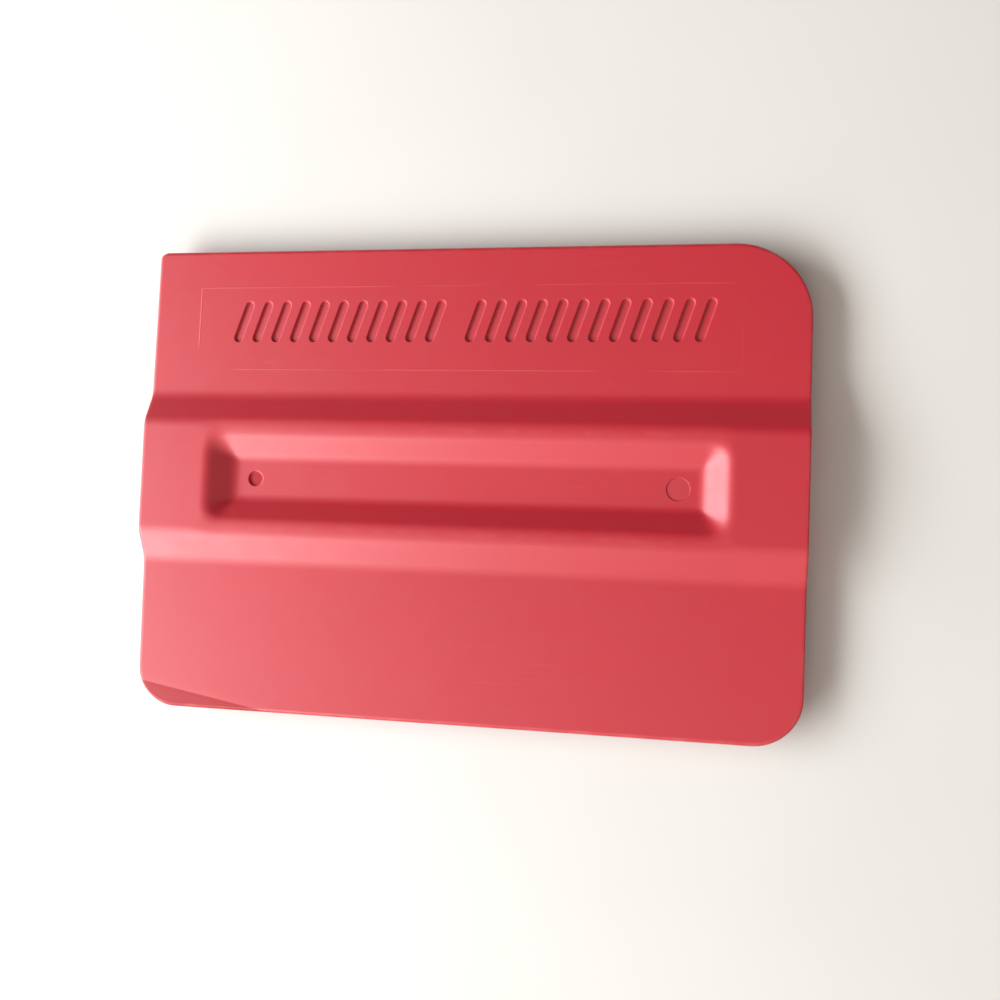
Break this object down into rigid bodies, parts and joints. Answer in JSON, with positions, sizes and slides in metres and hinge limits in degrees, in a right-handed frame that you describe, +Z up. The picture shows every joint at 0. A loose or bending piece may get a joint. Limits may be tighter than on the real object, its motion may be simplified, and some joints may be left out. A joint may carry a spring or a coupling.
{
  "type": "magnetic hand squeegee",
  "caption": "Flat moulded card squeegee for pressing down vinyl film, with a grip rib and finger slot across the middle of both faces and magnets in the rib's ends.",
  "frame": {"origin": "centre of the footprint, on the plane that the rib's lower face rests on", "axes": "+X along the rib, +Y towards the blade with the grip bars, +Z up through the card"},
  "size_m": [0.1, 0.071, 0.0065],
  "materials": {
    "red_plastic": "satin moulded",
    "magnet_plating": "nickel plated, lightly scuffed"
  },
  "bodies": {
    "root": {"card_body": "red_plastic", "magnet_left": "magnet_plating", "magnet_right": "magnet_plating"}
  },
  "joints": []
}
